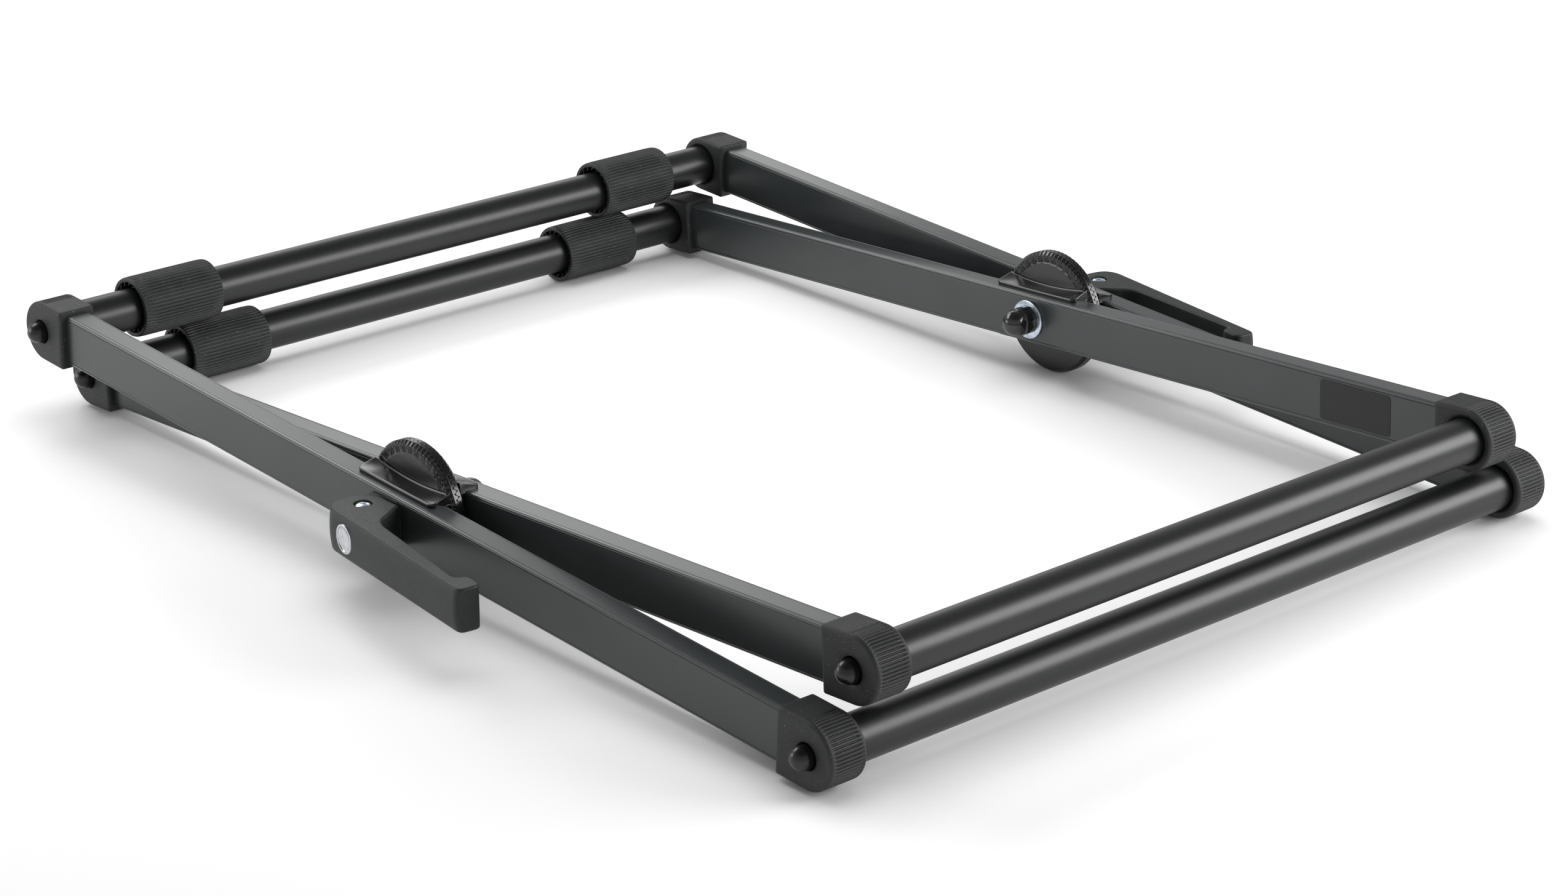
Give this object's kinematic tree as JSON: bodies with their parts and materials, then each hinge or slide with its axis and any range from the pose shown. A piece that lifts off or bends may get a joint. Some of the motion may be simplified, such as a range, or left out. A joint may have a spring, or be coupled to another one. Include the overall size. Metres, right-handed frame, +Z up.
{
  "type": "marching drum stand",
  "caption": "Folding double-X drum stand: two leg frames crossing at toothed discs with cam levers, rubber end caps and ribbed sleeves.",
  "frame": {"origin": "on the floor under the middle of the folded stand's box, the discs touching z = 0", "axes": "+X along the legs to the foot end, +Y across to the far side, +Z up from the floor"},
  "size_m": [0.7113, 0.6092, 0.076],
  "materials": {
    "leg_paint": "satin dark grey",
    "tube_coat": "satin black powder coat",
    "cap_rubber": "matt",
    "sleeve_rubber": "matt",
    "disc_plastic": "gloss black",
    "plug_aluminium": "turned",
    "zinc_steel": "bluish zinc plate",
    "dome_plastic": "gloss black",
    "black_nut": "gloss black",
    "spring_steel": "bright",
    "plate_plastic": "matt",
    "lever_plastic": "matt, fine grain",
    "badge_chrome": "polished, bare",
    "label_film": "matt, blank"
  },
  "bodies": {
    "outer_frame": {"near_outer_leg": "leg_paint", "far_outer_leg": "leg_paint", "outer_sleeve_tube": "tube_coat", "outer_foot_tube": "tube_coat", "near_outer_sleeve_cap": "cap_rubber", "near_outer_foot_cap": "cap_rubber", "far_outer_sleeve_cap": "cap_rubber", "far_outer_foot_cap": "cap_rubber", "near_outer_disc": "disc_plastic", "far_outer_disc": "disc_plastic", "outer_tube_plugs": "plug_aluminium", "outer_frame_bolts": "zinc_steel", "outer_bolt_domes": "dome_plastic", "near_clamp_bolt": "zinc_steel", "far_clamp_bolt": "zinc_steel", "near_clamp_nut": "black_nut", "far_clamp_nut": "black_nut", "near_washer": "zinc_steel", "far_washer": "zinc_steel", "near_release_spring": "spring_steel", "far_release_spring": "spring_steel", "near_cam_plate": "plate_plastic", "far_cam_plate": "plate_plastic"},
    "inner_frame": {"near_inner_leg": "leg_paint", "far_inner_leg": "leg_paint", "inner_sleeve_tube": "tube_coat", "inner_foot_tube": "tube_coat", "near_inner_sleeve_cap": "cap_rubber", "near_inner_foot_cap": "cap_rubber", "far_inner_sleeve_cap": "cap_rubber", "far_inner_foot_cap": "cap_rubber", "near_inner_disc": "disc_plastic", "far_inner_disc": "disc_plastic", "inner_tube_plugs": "plug_aluminium", "inner_frame_bolts": "zinc_steel", "inner_bolt_domes": "dome_plastic", "blank_label": "label_film"},
    "near_lever_body": {"near_lever": "lever_plastic", "near_lever_pin": "zinc_steel", "near_badge": "badge_chrome"},
    "far_lever_body": {"far_lever": "lever_plastic", "far_lever_pin": "zinc_steel", "far_badge": "badge_chrome"},
    "near_upper_sleeve_body": {"near_upper_sleeve": "sleeve_rubber"},
    "far_upper_sleeve_body": {"far_upper_sleeve": "sleeve_rubber"},
    "near_lower_sleeve_body": {"near_lower_sleeve": "sleeve_rubber"},
    "far_lower_sleeve_body": {"far_lower_sleeve": "sleeve_rubber"}
  },
  "joints": [
    {"name": "frame_fold", "type": "hinge", "parent": "outer_frame", "child": "inner_frame", "pos_m": [0, 0.0062, 0.038], "axis": [0, -1, 0], "range_deg": [0, 100]},
    {"name": "near_lever_swing", "type": "hinge", "parent": "outer_frame", "child": "near_lever_body", "pos_m": [0, -0.2707, 0.038], "axis": [0, 0, -1], "range_deg": [0, 83]},
    {"name": "far_lever_swing", "type": "hinge", "parent": "outer_frame", "child": "far_lever_body", "pos_m": [0, 0.28593, 0.038], "axis": [0, 0, 1], "range_deg": [0, 99]},
    {"name": "near_upper_sleeve_slide", "type": "slide", "parent": "outer_frame", "child": "near_upper_sleeve_body", "axis": [0, 1, 0], "range_m": [-0.00835, 0.14975]},
    {"name": "far_upper_sleeve_slide", "type": "slide", "parent": "outer_frame", "child": "far_upper_sleeve_body", "axis": [0, 1, 0], "range_m": [-0.14975, 0.00835]},
    {"name": "near_lower_sleeve_slide", "type": "slide", "parent": "inner_frame", "child": "near_lower_sleeve_body", "axis": [0, 1, 0], "range_m": [-0.04085, 0.11725]},
    {"name": "far_lower_sleeve_slide", "type": "slide", "parent": "inner_frame", "child": "far_lower_sleeve_body", "axis": [0, 1, 0], "range_m": [-0.11725, 0.04085]}
  ]
}
